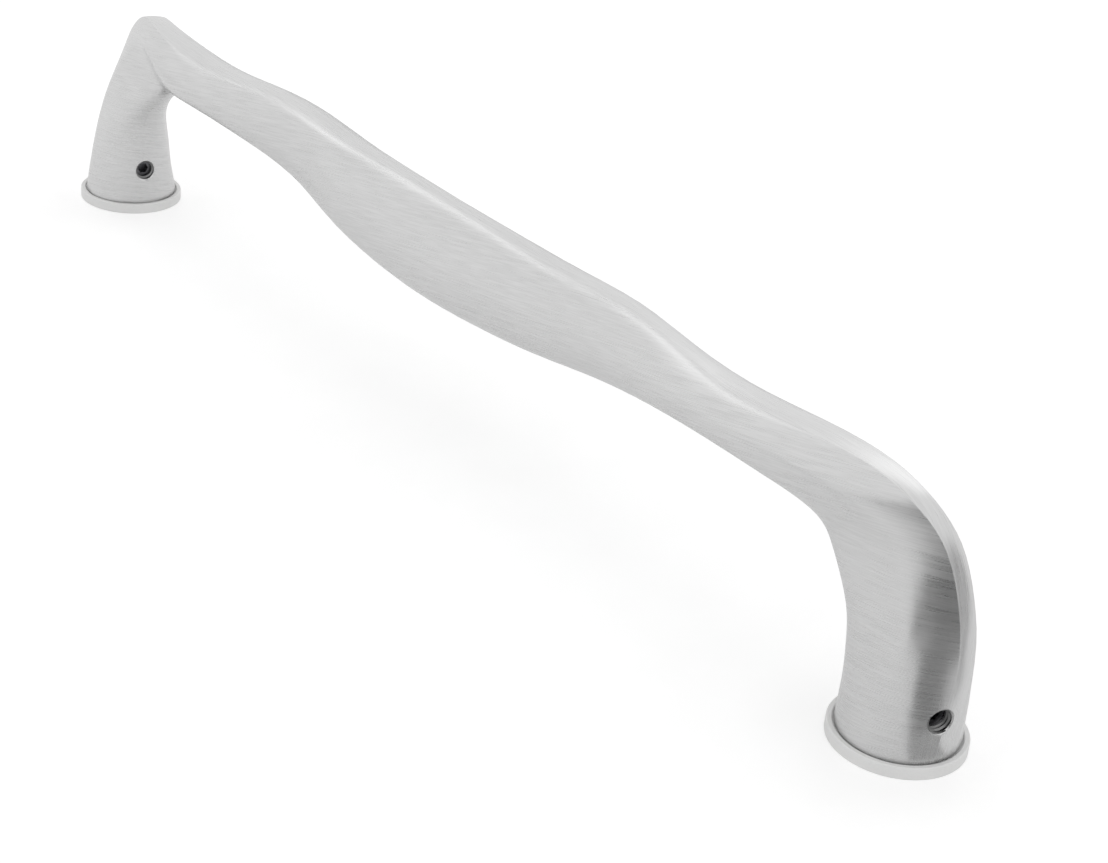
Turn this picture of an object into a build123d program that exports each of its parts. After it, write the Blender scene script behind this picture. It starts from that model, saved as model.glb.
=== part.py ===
from build123d import *
from math import acos, cos, degrees, hypot, radians, sin
from typing import NamedTuple
import os

# Door pull handle: one cast grip on two round feet, each foot on its own rose and fixing post.
# Millimetres. X runs along the bar, Z stands away from the door, and z = 0 is the door face.
# The origin is midway between the two screw holes. The end at +X hangs lowest on an upright handle.

# Overall sizes
HOLE_CENTRES = 350.0
PROJECTION = 63.4

# Feet and roses
FOOT_DIAMETER = 28.5
FOOT_BEVEL = 0.4
ROSE_DIAMETER = 32.0
ROSE_THICKNESS = 3.0
ROSE_EDGE_CHAMFER = 0.3
RECESS_DEPTH = 0.7
RECESS_CLEARANCE = 0.3
RECESS_CHAMFER = 0.25

# Fixing posts
POST_DIAMETER = 14.0
POST_HEIGHT = 20.0
POST_TOP_CHAMFER = 0.8
POST_CLEARANCE = 0.15
FLANGE_DIAMETER = 22.0
FLANGE_THICKNESS = 1.2
SOCKET_END_CLEARANCE = 1.0
SCREW_HOLE_DIAMETER = 5.5
SCREW_HEAD_DIAMETER = 10.5
COUNTERSINK_ANGLE = 90.0

# Grub screws, one in each foot, both on the side that faces down
GRUB_HEIGHT = 13.7
GRUB_TURN_LOWER = -16.0
GRUB_TURN_UPPER = -10.0
GRUB_DIAMETER = 5.6
GRUB_LENGTH = 5.0
GRUB_CLEARANCE = 0.1
GRUB_MOUTH_CHAMFER = 0.5
GRUB_POINT_CHAMFER = 0.8
GROOVE_DEPTH = 0.8
GROOVE_WIDTH = 6.0
HEX_KEY_ACROSS_FLATS = 3.0
HEX_SOCKET_DEPTH = 2.6

HALF_LENGTH = HOLE_CENTRES / 2
FOOT_RADIUS = FOOT_DIAMETER / 2
FOOT_SEAT = ROSE_THICKNESS - RECESS_DEPTH
SOCKET_TOP = POST_HEIGHT + SOCKET_END_CLEARANCE
POST_GRIP_RADIUS = POST_DIAMETER / 2 - GROOVE_DEPTH
UPRIGHT = (Align.CENTER, Align.CENTER, Align.MIN)


class Section(NamedTuple):
    """One cross section of the grip, in the plane through its outer and inner point."""

    outer: tuple
    inner: tuple
    band: float
    width: float
    hip: float
    slope: float
    fullness: float


def leg(outer_out, outer_rise, inner_in, inner_rise, band, width_over, hip, slope, fullness):
    """Section of the leg or the bend, placed from the foot's round and by shares of the height."""
    reach = PROJECTION - FOOT_SEAT
    outer = (HALF_LENGTH + FOOT_RADIUS + outer_out, FOOT_SEAT + outer_rise * reach)
    inner = (HALF_LENGTH - FOOT_RADIUS - inner_in, FOOT_SEAT + inner_rise * reach)
    return Section(outer, inner, band, FOOT_RADIUS + width_over, hip, slope, fullness)


def bar(share, lean, drop, depth, band, width, hip, slope, fullness):
    """Section of the bar at a share of the half length, with its outer side leaning outward."""
    along = share * HALF_LENGTH
    outer = (along + lean, PROJECTION - drop)
    inner = (along, PROJECTION - drop - depth)
    return Section(outer, inner, band, width, hip, slope, fullness)


class Lean(NamedTuple):
    """How far one section is pushed across the door's width and rolled about its own middle."""

    swing: float
    roll: float


# From the foot up the leg, round the bend and along the bar to its middle, the same at both ends.
# leg: outer point out from the foot's round and up, inner point in and up, half band, half width over
# the foot's radius, then where the section is widest, how far its shoulders slope and how full it is
# bar: place, lean, drop of the outer line, depth, half band, half width, then the same three
SECTIONS = [
    leg(0.2, 0.07, -0.1, 0.07, 3.5, -0.8, 0.48, 0.25, 0.60),
    leg(0.5, 0.16, -0.3, 0.16, 3.4, -1.9, 0.46, 0.28, 0.66),
    leg(1.0, 0.315, 0.0, 0.305, 2.9, -3.3, 0.42, 0.40, 0.76),
    leg(0.6, 0.50, 1.9, 0.445, 2.6, -5.1, 0.38, 0.52, 0.82),
    leg(-1.9, 0.675, 7.8, 0.58, 2.5, -7.1, 0.35, 0.62, 0.85),
    leg(-7.4, 0.84, 13.1, 0.67, 2.5, -8.2, 0.35, 0.70, 0.87),
    leg(-17.1, 0.96, 19.5, 0.73, 2.9, -7.2, 0.38, 0.74, 0.87),
    bar(0.76, 25.4, 0.2, 14.8, 3.5, 9.0, 0.42, 0.74, 0.87),
    bar(0.66, 5.5, 2.0, 12.7, 5.8, 10.0, 0.48, 0.70, 0.85),
    bar(0.545, 2.6, 0.9, 15.7, 4.5, 9.2, 0.54, 0.60, 0.80),
    bar(0.41, 1.0, 0.0, 20.2, 4.5, 8.4, 0.58, 0.52, 0.74),
    bar(0.27, 0.0, 1.3, 23.2, 4.3, 10.3, 0.60, 0.48, 0.70),
    bar(0.13, 0.0, 1.4, 26.0, 3.3, 11.8, 0.60, 0.46, 0.68),
]
MIDDLE_SECTION = bar(0.0, 0.0, 1.6, 27.1, 3.1, 12.1, 0.60, 0.46, 0.67)

# Each end leans its own way: swing in millimetres and roll in degrees, in the order of the sections.
LOWER_LEANS = [
    Lean(-0.1, -1.0),
    Lean(-0.3, -2.0),
    Lean(-0.8, -2.7),
    Lean(-1.6, -2.9),
    Lean(-2.3, -1.4),
    Lean(-2.9, -1.1),
    Lean(-4.9, -1.5),
    Lean(-5.0, -3.4),
    Lean(-5.6, -9.7),
    Lean(-5.2, -16.5),
    Lean(-3.1, -11.7),
    Lean(-1.6, -5.0),
    Lean(-0.5, 0.6),
]
UPPER_LEANS = [
    Lean(0.0, -4.0),
    Lean(0.0, -8.2),
    Lean(0.4, -14.2),
    Lean(0.7, -17.9),
    Lean(0.7, -15.7),
    Lean(1.4, -12.6),
    Lean(1.4, -10.2),
    Lean(-0.8, -7.2),
    Lean(-2.1, -4.1),
    Lean(-0.2, 2.5),
    Lean(0.8, 6.6),
    Lean(0.1, 1.6),
    Lean(-0.5, -2.5),
]
MIDDLE_LEAN = Lean(-0.3, -0.8)
BAND_CROWN = 0.4
SHOULDER_ROUND = 0.59
FOOT_BAND = 3.5


def section_plane(outer, inner, swing):
    """Plane of a section, with its x along the door's width and its y from inside to outside."""
    run, rise = outer[0] - inner[0], outer[1] - inner[1]
    middle = ((outer[0] + inner[0]) / 2, swing, (outer[1] + inner[1]) / 2)
    return Plane(origin=middle, x_dir=(0, 1, 0), z_dir=(rise, 0, -run))


def turn(start, corner, finish, share):
    """Curve that leaves its start towards a corner and comes to its finish from there."""
    return Bezier(start, start + (corner - start) * share, finish + (corner - finish) * share, finish)


def side_curves(hand, half_depth, section):
    """Shoulder and lower curve of one side of a section, from the band to the inner point."""
    crease = Vector(hand * section.band, half_depth - BAND_CROWN)
    widest = Vector(hand * section.width, half_depth - section.hip * 2 * half_depth)
    shoulder = Vector(widest.X, crease.Y - section.slope * (crease.Y - widest.Y))
    inner_corner = Vector(widest.X, -half_depth)
    upper = turn(crease, shoulder, widest, SHOULDER_ROUND)
    lower = turn(widest, inner_corner, Vector(0, -half_depth), section.fullness)
    return upper, lower


def ring(half_depth, section):
    """Closed outline: a narrow band outside, sloping shoulders, full sides and a flat inner side."""
    crease = half_depth - BAND_CROWN
    top = ThreePointArc((-section.band, crease), (0, half_depth), (section.band, crease))
    right_upper, right_lower = side_curves(1, half_depth, section)
    left_upper, left_lower = side_curves(-1, half_depth, section)
    return Wire([top, right_upper, right_lower, left_lower, left_upper])


def grip_section(section, lean, end):
    """Outline of one section in its place at one end, swung and rolled."""
    outer = (end * section.outer[0], section.outer[1])
    inner = (end * section.inner[0], section.inner[1])
    half_depth = hypot(outer[0] - inner[0], outer[1] - inner[1]) / 2
    return section_plane(outer, inner, lean.swing) * Rot(0, 0, lean.roll) * ring(half_depth, section)


def foot_arc(radius, start, finish):
    """Arc of the round foot between two angles in degrees."""
    points = []
    for angle in (start, (start + finish) / 2, finish):
        points.append((radius * cos(radians(angle)), radius * sin(radians(angle))))
    return ThreePointArc(*points)


def foot_section(end, radius, height):
    """Round outline of the foot, split where the grip's outlines are."""
    crease = degrees(acos(FOOT_BAND / FOOT_RADIUS))
    outline = Wire([
        foot_arc(radius, 180 - crease, crease),
        foot_arc(radius, crease, 0),
        foot_arc(radius, 0, -90),
        foot_arc(radius, -90, -180),
        foot_arc(radius, -180, -180 - crease),
    ])
    return Plane(origin=(end_axis(end), 0, height), x_dir=(0, 1, 0), z_dir=(0, 0, -end)) * outline


def foot_bevel(end):
    """Bevelled rim that carries the round foot on the rose."""
    low = foot_section(end, FOOT_RADIUS - FOOT_BEVEL, FOOT_SEAT)
    high = foot_section(end, FOOT_RADIUS, FOOT_SEAT + FOOT_BEVEL)
    return Solid.make_loft([low, high], ruled=True)


def half_sections(leans, end):
    """Outlines of one half of the grip, from the foot to the last one before the middle."""
    outlines = [grip_section(section, lean, end) for section, lean in zip(SECTIONS, leans)]
    return [foot_section(end, FOOT_RADIUS, FOOT_SEAT + FOOT_BEVEL)] + outlines


def grip_body():
    """The cast body: one smooth loft from foot to foot."""
    middle = grip_section(MIDDLE_SECTION, MIDDLE_LEAN, 1)
    lower = half_sections(LOWER_LEANS, 1)
    upper = half_sections(UPPER_LEANS, -1)
    return Solid.make_loft(lower + [middle] + upper[::-1])


def end_axis(end):
    """X place of the foot, rose and post at one end of the bar."""
    return end * HALF_LENGTH


def grub_plane(end, distance):
    """Plane across a grub screw's axis, at a distance from the foot's axis, facing outward."""
    angle = radians(GRUB_TURN_LOWER if end > 0 else GRUB_TURN_UPPER)
    facing = Vector(cos(angle), sin(angle), 0)
    start = Vector(end_axis(end), 0, GRUB_HEIGHT) + facing * distance
    return Plane(origin=start, x_dir=(-sin(angle), cos(angle), 0), z_dir=facing)


def post_socket(end):
    """Blind bore from below that slides over the fixing post."""
    radius = POST_DIAMETER / 2 + POST_CLEARANCE
    bore = Cylinder(radius, SOCKET_TOP - FOOT_SEAT, align=UPRIGHT)
    return Pos(end_axis(end), 0, FOOT_SEAT) * bore


def wall_distance(body, end):
    """Distance from the foot's axis to the place where the grub screw's axis leaves the body."""
    start = grub_plane(end, 0)
    line = Axis(start.origin, start.z_dir)
    hits = [point for face in body.faces() for point, normal in face.find_intersection_points(line)]
    return max((point - start.origin).dot(start.z_dir) for point in hits)


def grub_hole(body, end):
    """Hole through the foot's wall for the grub screw, with a chamfer where it comes out."""
    radius = GRUB_DIAMETER / 2 + GRUB_CLEARANCE
    bore = grub_plane(end, 0) * Cylinder(radius, FOOT_DIAMETER, align=UPRIGHT)
    mouth = 2 * GRUB_MOUTH_CHAMFER
    funnel = Cone(radius, radius + mouth, mouth, align=UPRIGHT)
    return bore + grub_plane(end, wall_distance(body, end) - GRUB_MOUTH_CHAMFER) * funnel


def make_grip():
    """The grip with its bevelled feet, post sockets and grub screw holes."""
    body = Part(grip_body().wrapped)
    for end in (1, -1):
        body += foot_bevel(end)
        body -= post_socket(end)
        body -= grub_hole(body, end)
    return body


def make_rose(end):
    """Round disc under the foot, with a recess for the foot and a pocket for the post's flange."""
    disc = Cylinder(ROSE_DIAMETER / 2, ROSE_THICKNESS, align=UPRIGHT)
    disc = chamfer(disc.edges().group_by(Axis.Z)[-1], ROSE_EDGE_CHAMFER)
    recess_radius = FOOT_RADIUS + RECESS_CLEARANCE
    disc -= Pos(0, 0, FOOT_SEAT) * Cylinder(recess_radius, RECESS_DEPTH, align=UPRIGHT)
    rim = disc.edges().filter_by(GeomType.CIRCLE).group_by(Axis.Z)[-1].sort_by(SortBy.RADIUS)[0]
    disc = chamfer(rim, RECESS_CHAMFER)
    disc -= Cylinder(POST_DIAMETER / 2 + POST_CLEARANCE, ROSE_THICKNESS, align=UPRIGHT)
    disc -= Cylinder(FLANGE_DIAMETER / 2 + POST_CLEARANCE, FLANGE_THICKNESS, align=UPRIGHT)
    return Pos(end_axis(end), 0, 0) * disc


def make_post(end):
    """Turned fixing post: flange, shaft with a groove for the grub screw, and a countersunk screw hole."""
    radius = POST_DIAMETER / 2
    groove_low = GRUB_HEIGHT - GROOVE_WIDTH / 2
    groove_high = GRUB_HEIGHT + GROOVE_WIDTH / 2
    outline = Polyline(
        (0, 0),
        (FLANGE_DIAMETER / 2, 0),
        (FLANGE_DIAMETER / 2, FLANGE_THICKNESS),
        (radius, FLANGE_THICKNESS),
        (radius, groove_low),
        (radius - GROOVE_DEPTH, groove_low + GROOVE_DEPTH),
        (radius - GROOVE_DEPTH, groove_high - GROOVE_DEPTH),
        (radius, groove_high),
        (radius, POST_HEIGHT - POST_TOP_CHAMFER),
        (radius - POST_TOP_CHAMFER, POST_HEIGHT),
        (0, POST_HEIGHT),
        close=True,
    )
    post = revolve(Plane.XZ * make_face(outline), Axis.Z)
    hole = Pos(0, 0, POST_HEIGHT) * CounterSinkHole(
        SCREW_HOLE_DIAMETER / 2, SCREW_HEAD_DIAMETER / 2, POST_HEIGHT, COUNTERSINK_ANGLE
    )
    return Pos(end_axis(end), 0, 0) * (post - hole)


def make_grub_screw(end):
    """Headless screw that bears on the post's groove, with a hexagon socket in its outer end."""
    start = POST_GRIP_RADIUS + GRUB_CLEARANCE
    screw = Cylinder(GRUB_DIAMETER / 2, GRUB_LENGTH, align=UPRIGHT)
    screw = chamfer(screw.edges().group_by(Axis.Z)[0], GRUB_POINT_CHAMFER)
    key = RegularPolygon(HEX_KEY_ACROSS_FLATS / 2, 6, major_radius=False)
    screw -= Pos(0, 0, GRUB_LENGTH - HEX_SOCKET_DEPTH) * extrude(key, HEX_SOCKET_DEPTH)
    return grub_plane(end, start) * screw


def make_parts():
    """Every piece by its name. The +X end hangs lowest."""
    pieces = {"grip": make_grip()}
    for name, end in (("lower", 1), ("upper", -1)):
        pieces["rose_" + name] = make_rose(end)
        pieces["post_" + name] = make_post(end)
        pieces["grub_screw_" + name] = make_grub_screw(end)
    return pieces


if __name__ == "__main__":
    os.makedirs("parts", exist_ok=True)
    for name, piece in make_parts().items():
        export_step(piece, f"parts/{name}.step")
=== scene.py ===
import math

import bmesh
import bpy
from mathutils import Matrix, Vector


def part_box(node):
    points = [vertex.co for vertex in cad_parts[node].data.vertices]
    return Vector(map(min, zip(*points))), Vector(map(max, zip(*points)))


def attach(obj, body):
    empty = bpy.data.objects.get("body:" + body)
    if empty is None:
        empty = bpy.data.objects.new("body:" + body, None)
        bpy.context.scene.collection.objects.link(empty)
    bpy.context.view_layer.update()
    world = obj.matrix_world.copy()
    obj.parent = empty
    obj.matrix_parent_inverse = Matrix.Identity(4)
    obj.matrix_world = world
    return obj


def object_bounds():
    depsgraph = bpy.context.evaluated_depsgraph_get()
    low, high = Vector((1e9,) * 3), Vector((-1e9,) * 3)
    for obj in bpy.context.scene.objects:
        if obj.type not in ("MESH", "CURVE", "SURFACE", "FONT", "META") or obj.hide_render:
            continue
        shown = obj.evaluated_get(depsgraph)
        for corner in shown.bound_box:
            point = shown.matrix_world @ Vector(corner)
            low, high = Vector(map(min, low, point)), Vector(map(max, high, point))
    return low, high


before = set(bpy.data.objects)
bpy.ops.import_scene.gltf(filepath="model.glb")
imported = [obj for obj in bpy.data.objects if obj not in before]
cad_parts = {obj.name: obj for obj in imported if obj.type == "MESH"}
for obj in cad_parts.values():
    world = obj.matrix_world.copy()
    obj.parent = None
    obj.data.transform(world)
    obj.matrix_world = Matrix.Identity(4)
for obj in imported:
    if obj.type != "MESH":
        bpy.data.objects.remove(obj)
CAD_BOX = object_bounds()

# Camera. The photograph is 1108 by 863 pixels, and the lens is for a 36 mm wide sensor.
SENSOR_WIDTH = 36.0
LENS = 71.84
CAMERA_PLACE = Vector((0.4302, -0.3291, 0.2745))
CAMERA_YAW = math.radians(49.21)
CAMERA_PITCH = math.radians(27.06)
CAMERA_ROLL = math.radians(6.30)

# Places on the handle, in metres
LOW, HIGH = CAD_BOX
POST_LOW, POST_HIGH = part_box("post_lower")
LEG_PLACE = (POST_LOW.x + POST_HIGH.x) / 2
MIDDLE = Vector((0, 0, HIGH[2] / 2))

# Creases of the grip, which the brushing has worn round, in metres: the stretch of X in which the bar turns
# into a leg, and the worn radius before and after it
NECK_SPAN = (0.115, 0.15)
CREASE_RADIUS_SPAN = (0.0042, 0.0004)

# Scratches of the brushing: noise cells in a metre along them and across them, and how far a scratch climbs
# in Z for each metre along X and along Y
FINE_SCRATCHES = (110.0, 3600.0)
BROAD_SCRATCHES = (60.0, 1500.0)
CLIMB_X = 0.18
CLIMB_Y = -0.2

# Narrow outer band of the grip, with lengthwise scratches: it comes in between these two shares of facing
# outward from the handle, and fades out between these two shares of facing sideways
BAND_OUTWARD = (0.3, 0.8)
BAND_SIDEWAYS = (0.35, 0.7)

# Limits between which most of a noise lies, and closer ones for the grain of the brushing
NOISE_SPAN = (0.3, 0.7)
GRAIN_SPAN = (0.34, 0.66)

# Height from one turned ring to the next on the posts and the grub screws, in metres
RING_PITCH = 0.0005

# Studio: the floor's radius and the height of the lowest cards over it, in metres, then the strength of the
# floor's own glow to the camera and of the light from all round
FLOOR_RADIUS = 4.0
CARD_HEIGHT = 0.0006
FLOOR_GLOW = 0.22
ROOM_LIGHT = 0.9

# Threads of the grub screw holes, in metres: M6 with a pitch of 1 mm, and the radii of its root and crest.
# The flat crest and the wider foot of the ridge are half widths in pitches, and the ridge starts at one
# distance from the axis of the handle's foot.
THREAD_PITCH = 0.001
THREAD_ROOT = 0.00293
THREAD_CREST = 0.00250
CREST_HALF = 0.06
FOOT_HALF = 0.42
THREAD_START = 0.01135

# Mesh steps in each turn of the thread, and steps over which the ridge rises from the wall and sinks again
THREAD_STEPS = 48
THREAD_FADE = 12

# Grub screw holes: azimuth, and distance from the foot's axis at which the thread ends
GRUB_HOLES = {
    "lower": (math.radians(-16), 0.0142),
    "upper": (math.radians(-10), 0.0132),
}


def new_material(name):
    """A material with an empty node tree, its output and its principled shader."""
    material = bpy.data.materials.new(name)
    material.use_nodes = True
    tree = material.node_tree
    tree.nodes.clear()
    output = tree.nodes.new("ShaderNodeOutputMaterial")
    shader = tree.nodes.new("ShaderNodeBsdfPrincipled")
    tree.links.new(shader.outputs["BSDF"], output.inputs["Surface"])
    return material, tree, shader


def node(tree, kind, inputs=(), **settings):
    """A shader node with its settings, and its inputs given as values or as sockets to link."""
    made = tree.nodes.new(kind)
    for name, value in settings.items():
        setattr(made, name, value)
    for key, value in dict(inputs).items():
        if isinstance(value, bpy.types.NodeSocket):
            tree.links.new(value, made.inputs[key])
        else:
            made.inputs[key].default_value = value
    return made


def math_node(tree, operation, *values):
    """Output of a math node on values or sockets."""
    return node(tree, "ShaderNodeMath", enumerate(values), operation=operation).outputs[0]


def map_range(tree, value, span, to_span):
    """Smooth change from one pair of limits to another."""
    inputs = {
        "Value": value,
        "From Min": span[0],
        "From Max": span[1],
        "To Min": to_span[0],
        "To Max": to_span[1],
    }
    return node(tree, "ShaderNodeMapRange", inputs, interpolation_type="SMOOTHSTEP").outputs["Result"]


def stretched_noise(tree, vector, scale, detail, roughness):
    """Noise whose grain is stretched by a different scale along each axis."""
    mapped = node(tree, "ShaderNodeVectorMath", {0: vector, 1: scale}, operation="MULTIPLY")
    inputs = {"Vector": mapped.outputs[0], "Scale": 1.0, "Detail": detail, "Roughness": roughness}
    return node(tree, "ShaderNodeTexNoise", inputs, noise_dimensions="3D").outputs["Fac"]


def mix_values(tree, factor, first, second):
    """Linear mix of two single values."""
    inputs = {0: factor, 2: first, 3: second}
    return node(tree, "ShaderNodeMix", inputs, data_type="FLOAT").outputs[0]


def brush_fields(tree):
    """Place, the same place with Z measured from a climbing scratch, and share of the narrow outer band."""
    coordinates = node(tree, "ShaderNodeTexCoord")
    place = coordinates.outputs["Object"]
    normal = coordinates.outputs["Normal"]
    x, y, z = node(tree, "ShaderNodeSeparateXYZ", {0: place}).outputs
    normal_x, normal_y, normal_z = node(tree, "ShaderNodeSeparateXYZ", {0: normal}).outputs
    towards_end = math_node(tree, "MULTIPLY", x, 1 / LEG_PLACE)
    outward = math_node(tree, "MULTIPLY_ADD", normal_x, towards_end, normal_z)
    sideways = math_node(tree, "ABSOLUTE", normal_y)
    band = math_node(
        tree, "MULTIPLY",
        map_range(tree, outward, BAND_OUTWARD, (0.0, 1.0)),
        map_range(tree, sideways, BAND_SIDEWAYS, (1.0, 0.0)),
    )
    climbing_z = math_node(tree, "MULTIPLY_ADD", x, -CLIMB_X, z)
    slanted_z = math_node(tree, "MULTIPLY_ADD", y, -CLIMB_Y, climbing_z)
    slanted = node(tree, "ShaderNodeCombineXYZ", {"X": x, "Y": y, "Z": slanted_z}).outputs[0]
    return place, slanted, band


def scratches(tree, fields, density, detail, roughness):
    """Scratches that run round the legs and along the bar, and lengthwise on the narrow outer band."""
    place, slanted, band = fields
    along, across = density
    return mix_values(
        tree, band,
        stretched_noise(tree, slanted, (along, along, across), detail, roughness),
        stretched_noise(tree, place, (along, across, along), detail, roughness),
    )


def tinted(tree, color, tone):
    """A colour made lighter and darker by a tone."""
    return node(tree, "ShaderNodeVectorMath", {0: color, "Scale": tone}, operation="SCALE").outputs[0]


def finish_surface(tree, shader, tint, gloss, bump):
    """Links a tint, a roughness and a bump to a shader."""
    tree.links.new(tint, shader.inputs["Base Color"])
    tree.links.new(gloss, shader.inputs["Roughness"])
    tree.links.new(bump.outputs["Normal"], shader.inputs["Normal"])


def worn_normal(tree, place):
    """Surface normal of creases that the brushing has worn round."""
    along_bar = node(tree, "ShaderNodeSeparateXYZ", {0: place}).outputs["X"]
    from_middle = math_node(tree, "ABSOLUTE", along_bar)
    radius = map_range(tree, from_middle, NECK_SPAN, CREASE_RADIUS_SPAN)
    return node(tree, "ShaderNodeBevel", {"Radius": radius}, samples=8).outputs["Normal"]


def brushed_metal(name, color, roughness, worn_creases=False):
    """Satin metal with fine scratches, soft cloudy changes of gloss and, where asked, creases worn round."""
    material, tree, shader = new_material(name)
    fields = brush_fields(tree)
    place = fields[0]
    fine = scratches(tree, fields, FINE_SCRATCHES, detail=3.0, roughness=0.65)
    broad = scratches(tree, fields, BROAD_SCRATCHES, detail=2.0, roughness=0.5)
    cloud = stretched_noise(tree, place, (25.0, 40.0, 40.0), detail=2.0, roughness=0.5)
    grain = mix_values(tree, 0.2, fine, broad)
    tint = tinted(tree, color, map_range(tree, grain, GRAIN_SPAN, (0.93, 1.05)))
    wear = mix_values(tree, 0.3, grain, cloud)
    gloss = map_range(tree, wear, NOISE_SPAN, (roughness - 0.05, roughness + 0.06))
    bump = node(tree, "ShaderNodeBump", {"Strength": 0.4, "Distance": 0.00004, "Height": grain})
    if worn_creases:
        tree.links.new(worn_normal(tree, place), bump.inputs["Normal"])
    finish_surface(tree, shader, tint, gloss, bump)
    shader.inputs["Metallic"].default_value = 1.0
    return material


def turned_metal(name, color, roughness):
    """Machined metal with fine rings, each at one height."""
    material, tree, shader = new_material(name)
    place = node(tree, "ShaderNodeTexCoord").outputs["Object"]
    rings = stretched_noise(tree, place, (40.0, 40.0, 1.0 / RING_PITCH), detail=2.0, roughness=0.5)
    tint = tinted(tree, color, map_range(tree, rings, NOISE_SPAN, (0.85, 1.1)))
    gloss = map_range(tree, rings, NOISE_SPAN, (roughness - 0.06, roughness + 0.08))
    bump = node(tree, "ShaderNodeBump", {"Strength": 0.2, "Distance": 0.00005, "Height": rings})
    finish_surface(tree, shader, tint, gloss, bump)
    shader.inputs["Metallic"].default_value = 1.0
    return material


def matt_plastic(name, color):
    """Plain moulded plastic with a faint fine texture and slight changes of tone."""
    material, tree, shader = new_material(name)
    place = node(tree, "ShaderNodeTexCoord").outputs["Object"]
    grain = stretched_noise(tree, place, (2600.0, 2600.0, 2600.0), detail=3.0, roughness=0.6)
    cloud = stretched_noise(tree, place, (120.0, 120.0, 120.0), detail=2.0, roughness=0.5)
    mottle = mix_values(tree, 0.5, grain, cloud)
    tint = tinted(tree, color, map_range(tree, mottle, NOISE_SPAN, (0.97, 1.03)))
    gloss = map_range(tree, grain, NOISE_SPAN, (0.58, 0.68))
    bump = node(tree, "ShaderNodeBump", {"Strength": 0.08, "Distance": 0.00003, "Height": grain})
    finish_surface(tree, shader, tint, gloss, bump)
    return material


def floor_material():
    """White sheet that shows the object's shadow and lies at full white elsewhere in the picture."""
    material, tree, shader = new_material("floor_white")
    place = node(tree, "ShaderNodeTexCoord").outputs["Object"]
    mottle = stretched_noise(tree, place, (60.0, 60.0, 60.0), detail=2.0, roughness=0.5)
    tone = map_range(tree, mottle, NOISE_SPAN, (0.985, 1.0))
    tree.links.new(tinted(tree, (0.92, 0.92, 0.92), tone), shader.inputs["Base Color"])
    shader.inputs["Roughness"].default_value = 0.9
    shader.inputs["Specular IOR Level"].default_value = 0.0
    rays = node(tree, "ShaderNodeLightPath")
    shader.inputs["Emission Color"].default_value = (1, 1, 1, 1)
    glow = math_node(tree, "MULTIPLY", rays.outputs["Is Camera Ray"], FLOOR_GLOW)
    tree.links.new(glow, shader.inputs["Emission Strength"])
    return material


def assign(names, material):
    """Gives carried-over nodes a material in their own slots."""
    for name in names:
        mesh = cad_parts[name].data
        if not mesh.materials:
            mesh.materials.append(material)
        for index in range(len(mesh.materials)):
            mesh.materials[index] = material
        mesh.shade_smooth()


def link(piece):
    """Puts a new object in the scene."""
    bpy.context.scene.collection.objects.link(piece)
    return piece


def make_floor():
    """Wide round sheet that the handle stands on."""
    mesh = bpy.data.meshes.new("floor")
    shape = bmesh.new()
    bmesh.ops.create_circle(shape, cap_ends=True, segments=96, radius=FLOOR_RADIUS)
    shape.to_mesh(mesh)
    shape.free()
    floor = link(bpy.data.objects.new("floor", mesh))
    floor.location.z = LOW[2]
    mesh.materials.append(floor_material())


def make_camera():
    """Camera of the photograph: its axes from yaw, pitch and roll."""
    yaw_sine, yaw_cosine = math.sin(CAMERA_YAW), math.cos(CAMERA_YAW)
    pitch_sine, pitch_cosine = math.sin(CAMERA_PITCH), math.cos(CAMERA_PITCH)
    forward = Vector((-yaw_sine * pitch_cosine, yaw_cosine * pitch_cosine, -pitch_sine))
    level = Vector((yaw_cosine, yaw_sine, 0))
    above = level.cross(forward)
    right = math.cos(CAMERA_ROLL) * level + math.sin(CAMERA_ROLL) * above
    up = -math.sin(CAMERA_ROLL) * level + math.cos(CAMERA_ROLL) * above
    data = bpy.data.cameras.new("camera")
    data.sensor_fit = "HORIZONTAL"
    data.sensor_width = SENSOR_WIDTH
    data.lens = LENS
    data.clip_start = 0.01
    data.clip_end = 50.0
    camera = link(bpy.data.objects.new("camera", data))
    axes = Matrix((right, up, -forward)).transposed().to_4x4()
    camera.matrix_world = Matrix.Translation(CAMERA_PLACE) @ axes
    bpy.context.scene.camera = camera


def area_light(name, place, target, size, power):
    """Square soft box that faces a point."""
    data = bpy.data.lights.new(name, "AREA")
    data.shape = "SQUARE"
    data.size = size
    data.energy = power
    lamp = link(bpy.data.objects.new(name, data))
    lamp.location = place
    lamp.rotation_euler = (Vector(target) - Vector(place)).to_track_quat("-Z", "Y").to_euler()


def make_world():
    """Even light from all round, seen as plain white by the camera."""
    world = bpy.data.worlds.new("studio")
    world.use_nodes = True
    tree = world.node_tree
    tree.nodes.clear()
    output = tree.nodes.new("ShaderNodeOutputWorld")
    rays = node(tree, "ShaderNodeLightPath")
    room = node(tree, "ShaderNodeBackground", {"Color": (1, 1, 1, 1), "Strength": ROOM_LIGHT})
    white = node(tree, "ShaderNodeBackground", {"Color": (1, 1, 1, 1), "Strength": 1.0})
    mixed = node(
        tree, "ShaderNodeMixShader",
        {0: rays.outputs["Is Camera Ray"], 1: room.outputs[0], 2: white.outputs[0]},
    )
    tree.links.new(mixed.outputs[0], output.inputs["Surface"])
    bpy.context.scene.world = world


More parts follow.
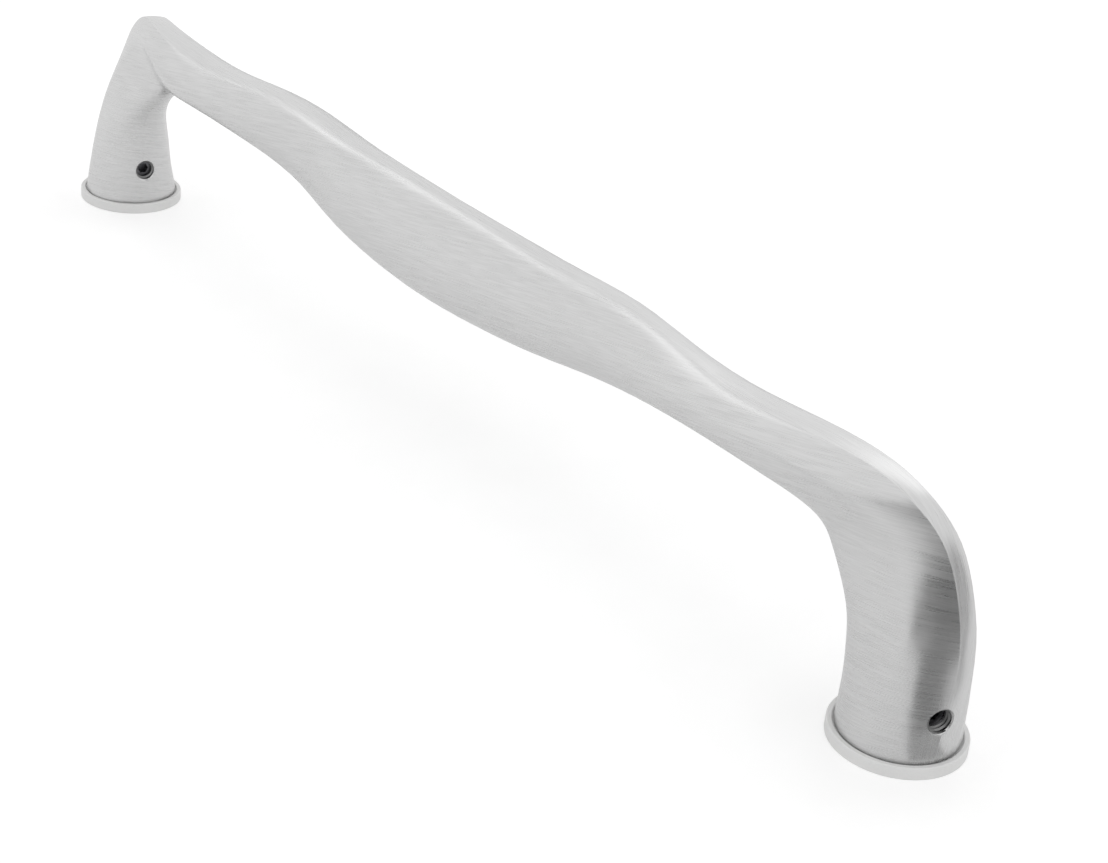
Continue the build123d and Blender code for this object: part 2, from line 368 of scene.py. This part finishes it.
def flag(name, corners, tone):
    """Card that only reflections see, as the parts of a studio that are darker than its white sheets."""
    mesh = bpy.data.meshes.new(name)
    mesh.from_pydata([tuple(corner) for corner in corners], [], [tuple(range(len(corners)))])
    material, tree, shader = new_material(name)
    shader.inputs["Base Color"].default_value = (tone, tone, tone, 1)
    shader.inputs["Roughness"].default_value = 1.0
    shader.inputs["Specular IOR Level"].default_value = 0.0
    mesh.materials.append(material)
    card = link(bpy.data.objects.new(name, mesh))
    card.visible_camera = False
    card.visible_diffuse = False
    card.visible_shadow = False
    card.visible_transmission = False


def beside_foot(azimuth, distance, height=CARD_HEIGHT):
    """Point beside the lower foot, at an azimuth in degrees, a distance and a height over the table."""
    angle = math.radians(azimuth)
    return Vector((LEG_PLACE + distance * math.cos(angle), distance * math.sin(angle), LOW[2] + height))


def table_flag(name, left_side, right_side, tone):
    """Card on the table; each side lists (azimuth, distance) from the lower foot, near end first."""
    left = [beside_foot(azimuth, distance) for azimuth, distance in left_side]
    right = [beside_foot(azimuth, distance) for azimuth, distance in right_side]
    flag(name, left + right[::-1], tone)


def wall_flag(name, left, right, top, tone):
    """Card that stands on the table between two points beside the lower foot, up to a height."""
    bottom = [beside_foot(*left), beside_foot(*right)]
    above = [beside_foot(*right, top), beside_foot(*left, top)]
    flag(name, bottom + above, tone)


def thread_ridge(name, turn, end, material):
    """Thread ridge of a grub screw hole: a helix round the hole, up to a distance from the foot's axis."""
    low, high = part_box("grub_screw_" + name)
    facing = Vector((math.cos(turn), math.sin(turn), 0))
    level = Vector((-math.sin(turn), math.cos(turn), 0))
    rise = Vector((0, 0, 1))
    foot = Vector((math.copysign(LEG_PLACE, low.x), 0, (low.z + high.z) / 2))
    profile = [
        (-FOOT_HALF, THREAD_ROOT),
        (-CREST_HALF, THREAD_CREST),
        (CREST_HALF, THREAD_CREST),
        (FOOT_HALF, THREAD_ROOT),
    ]
    corners = len(profile)
    length = end - THREAD_START
    steps = math.ceil(length / THREAD_PITCH * THREAD_STEPS)
    vertices, faces = [], []
    for step in range(steps + 1):
        angle = 2 * math.pi * step / THREAD_STEPS
        along = THREAD_START + length * step / steps
        spoke = math.cos(angle) * level + math.sin(angle) * rise
        fade = min(1.0, step / THREAD_FADE, (steps - step) / THREAD_FADE)
        for shift, radius in profile:
            depth = THREAD_ROOT + (radius - THREAD_ROOT) * fade
            vertices.append(foot + facing * (along + shift * THREAD_PITCH) + spoke * depth)
        if step:
            here = corners * step
            before = here - corners
            for side in range(corners):
                other = (side + 1) % corners
                faces.append((before + side, before + other, here + other, here + side))
    faces.append(tuple(reversed(range(corners))))
    faces.append(tuple(corners * steps + side for side in range(corners)))
    mesh = bpy.data.meshes.new("grub_hole_thread_" + name)
    mesh.from_pydata([tuple(vertex) for vertex in vertices], [], faces)
    shape = bmesh.new()
    shape.from_mesh(mesh)
    bmesh.ops.recalc_face_normals(shape, faces=shape.faces)
    shape.to_mesh(mesh)
    shape.free()
    ridge = link(bpy.data.objects.new("grub_hole_thread_" + name, mesh))
    mesh.materials.append(material)
    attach(ridge, "root")


# Materials of the carried-over pieces
satin_metal = brushed_metal("satin_metal", (0.70, 0.70, 0.70), roughness=0.29, worn_creases=True)
rose_plastic = matt_plastic("rose_plastic", (0.75, 0.75, 0.745))
post_metal = turned_metal("post_metal", (0.55, 0.55, 0.55), roughness=0.35)
grub_screw_steel = turned_metal("grub_screw_steel", (0.16, 0.16, 0.17), roughness=0.4)
assign(["grip"], satin_metal)
assign(["rose_lower", "rose_upper"], rose_plastic)
assign(["post_lower", "post_upper"], post_metal)
assign(["grub_screw_lower", "grub_screw_upper"], grub_screw_steel)

# Studio and camera
bpy.context.scene.view_settings.view_transform = "Standard"
make_floor()
make_camera()
make_world()

# Cards that the lower foot reflects: a dark opening in front of it and a grey side to its right
table_flag(
    "opening_foot",
    [(-29, 0.0175), (-38, 0.025), (-44, 0.034)],
    [(12, 0.0175), (0, 0.034)],
    tone=0.5,
)
table_flag(
    "opening_near",
    [(-44, 0.034), (-61, 0.1), (-67, 0.13), (-80, 0.16), (-87, 0.2)],
    [(0, 0.034), (-21, 0.07), (-22, 0.2)],
    tone=0.27,
)
table_flag(
    "opening_far",
    [(-87, 0.2), (-90, 0.28), (-88, 0.4), (-87, 0.5)],
    [(-22, 0.2), (-22, 0.5)],
    tone=0.1,
)
wall_flag("opening_wall", (-87, 0.5), (-22, 0.5), top=0.12, tone=0.1)
table_flag(
    "side_table",
    [(8, 0.03), (-8, 0.45)],
    [(30, 0.05), (36, 0.12), (55, 0.45)],
    tone=0.56,
)
wall_flag("side_wall", (-8, 0.45), (55, 0.45), top=0.28, tone=0.56)

# Soft boxes behind the handle
area_light("back", (-0.30, 0.92, 0.70), MIDDLE, size=0.6, power=0.5)
area_light("back_left", (-0.72, 0.06, 0.84), MIDDLE, size=0.4, power=0.3)

# Threads in the grub screw holes. Their steel gets a dark tone, 0.30 against the grip's 0.70, as painted
# shade of the deep holes they sit in.
thread_shade_metal = brushed_metal("thread_painted_shade", (0.30, 0.30, 0.30), roughness=0.45)
for hole, (turn, thread_end) in GRUB_HOLES.items():
    thread_ridge(hole, turn, thread_end, thread_shade_metal)
